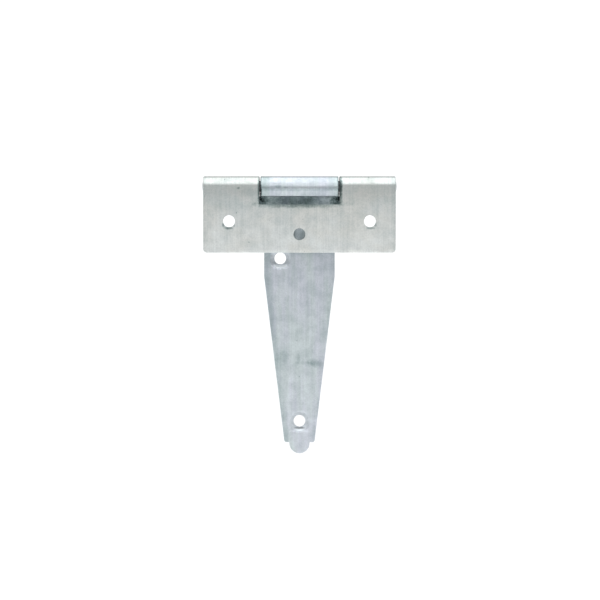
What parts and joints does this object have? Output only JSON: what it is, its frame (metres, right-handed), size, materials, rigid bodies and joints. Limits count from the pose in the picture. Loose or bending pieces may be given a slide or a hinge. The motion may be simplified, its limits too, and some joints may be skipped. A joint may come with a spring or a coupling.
{
  "type": "t hinge",
  "caption": "Tee hinge: a wide cross plate and a long tapered strap, both with countersunk screw holes, turn on a peened pin to hang a gate, shed door or lid.",
  "frame": {"origin": "on the cross plate's mounting face, midway between its two outer screw holes", "axes": "+X along the pin, +Y from the cross plate's mounting face towards the folded strap, +Z from the strap's nose up to the pin"},
  "size_m": [0.1056, 0.011, 0.1512],
  "materials": {
    "zinc_plate": "bright zinc plate with faint rolling streaks and handling marks",
    "zinc_strap": "bright zinc plate, slightly bluer, mottled along its length",
    "zinc_pin": "zinc plated wire, worn bright on the peened ends"
  },
  "bodies": {
    "cross_leaf": {"cross_plate": "zinc_plate", "hinge_pin": "zinc_pin"},
    "strap_leaf": {"strap": "zinc_strap"}
  },
  "joints": [
    {"name": "strap_swing", "type": "hinge", "parent": "cross_leaf", "child": "strap_leaf", "pos_m": [0, 0.0055, 0.019], "axis": [1, 0, 0], "range_deg": [-9, 255]}
  ]
}
